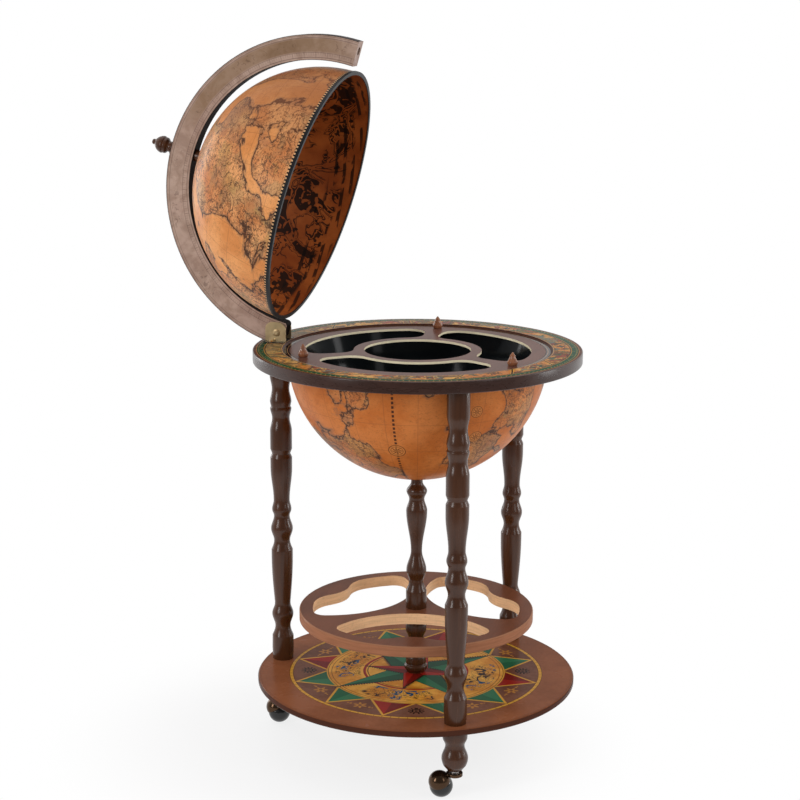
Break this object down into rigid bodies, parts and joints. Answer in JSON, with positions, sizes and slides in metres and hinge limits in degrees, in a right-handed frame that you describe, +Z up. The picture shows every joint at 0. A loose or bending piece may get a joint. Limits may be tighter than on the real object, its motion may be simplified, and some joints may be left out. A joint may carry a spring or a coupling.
{
  "type": "globe drinks cabinet",
  "caption": "Floor-standing globe bar on ball casters: hinged half-globe lid on a meridian bar, lift-out bottle and glass tray, turned legs and a bottle shelf over a round base.",
  "frame": {"origin": "on the floor, under the centre of the column, the ring and the base", "axes": "+Z up from the floor; +X from the column away from the lid's hinge; +Y to the side, so the hinge axis lies along Y"},
  "size_m": [0.6802, 0.504, 1.1111],
  "materials": {
    "brown_board": "lacquered reddish-brown board",
    "dark_turned_wood": "dark stained turned wood, satin lacquer",
    "printed_ring": "board with an antique-map style print in ochre, orange and green, lacquered",
    "printed_globe": "hard shell with an antique-map style print in ochre and orange, lacquered",
    "black_plastic": "glossy black moulding",
    "light_wood": "pale printed wood with dark edge lines",
    "steel": "plated steel",
    "brass": "lacquered brass",
    "black_metal": "black enamel",
    "dark_plug": "dark plug",
    "knob_wood": "orange-brown turned wood",
    "bronze": "dark bronze plated",
    "black_ball": "black nylon ball"
  },
  "bodies": {
    "stand": {"base_disc": "brown_board", "bun_feet": "dark_turned_wood", "foot_studs": "steel", "leg_dowels": "light_wood", "leg_hinge": "dark_turned_wood", "leg_front": "dark_turned_wood", "leg_rear": "dark_turned_wood", "horizon_ring": "printed_ring", "column_lower": "dark_turned_wood", "bottle_shelf": "brown_board", "column_upper": "dark_turned_wood", "tie_rod": "steel", "tie_rod_nuts": "steel", "globe_lower_shell": "printed_globe", "globe_liner": "black_plastic", "hinge_plate": "black_metal", "hinge_cheek_front": "brass", "hinge_cheek_rear": "brass", "hinge_pin": "brass", "hinge_pin_nut": "steel", "hinge_screws": "brass", "caster_sockets": "steel"},
    "lid": {"meridian": "light_wood", "meridian_end_plug": "dark_plug", "hinge_bush": "brass", "globe_upper_shell": "printed_globe", "globe_rim_trim": "black_plastic", "pole_spacer": "dark_turned_wood", "pole_screw": "steel", "finial": "dark_turned_wood"},
    "tray": {"tray_plate": "brown_board", "tray_knobs": "knob_wood", "tray_screws": "steel"},
    "caster_hinge": {"caster_hood_hinge": "bronze", "caster_stem_hinge": "steel", "caster_axle_hinge": "steel"},
    "ball_hinge": {"caster_wheel_hinge": "black_ball"},
    "caster_front": {"caster_hood_front": "bronze", "caster_stem_front": "steel", "caster_axle_front": "steel"},
    "ball_front": {"caster_wheel_front": "black_ball"},
    "caster_rear": {"caster_hood_rear": "bronze", "caster_stem_rear": "steel", "caster_axle_rear": "steel"},
    "ball_rear": {"caster_wheel_rear": "black_ball"}
  },
  "joints": [
    {"name": "lid_hinge", "type": "hinge", "parent": "stand", "child": "lid", "pos_m": [-0.223, 0, 0.6552], "axis": [0, -1, 0], "range_deg": [-74.2, 0]},
    {"name": "tray_lift", "type": "slide", "parent": "stand", "child": "tray", "axis": [0, 0, 1], "range_m": [0, 0.12]},
    {"name": "swivel_hinge", "type": "hinge", "parent": "stand", "child": "caster_hinge", "pos_m": [-0.222, 0, 0.06], "axis": [0, 0, 1], "continuous": true},
    {"name": "roll_hinge", "type": "hinge", "parent": "caster_hinge", "child": "ball_hinge", "pos_m": [-0.23486, 0.01532, 0.0176], "axis": [-0.483, -0.1294, 0.866], "continuous": true},
    {"name": "swivel_front", "type": "hinge", "parent": "stand", "child": "caster_front", "pos_m": [0.111, -0.19226, 0.06], "axis": [0, 0, 1], "continuous": true},
    {"name": "roll_front", "type": "hinge", "parent": "caster_front", "child": "ball_front", "pos_m": [0.09119, -0.19504, 0.0176], "axis": [-0.1462, -0.4782, 0.866], "continuous": true},
    {"name": "swivel_rear", "type": "hinge", "parent": "stand", "child": "caster_rear", "pos_m": [0.111, 0.19226, 0.06], "axis": [0, 0, 1], "continuous": true},
    {"name": "roll_rear", "type": "hinge", "parent": "caster_rear", "child": "ball_rear", "pos_m": [0.09368, 0.20226, 0.0176], "axis": [-0.4096, -0.2868, 0.866], "continuous": true}
  ]
}
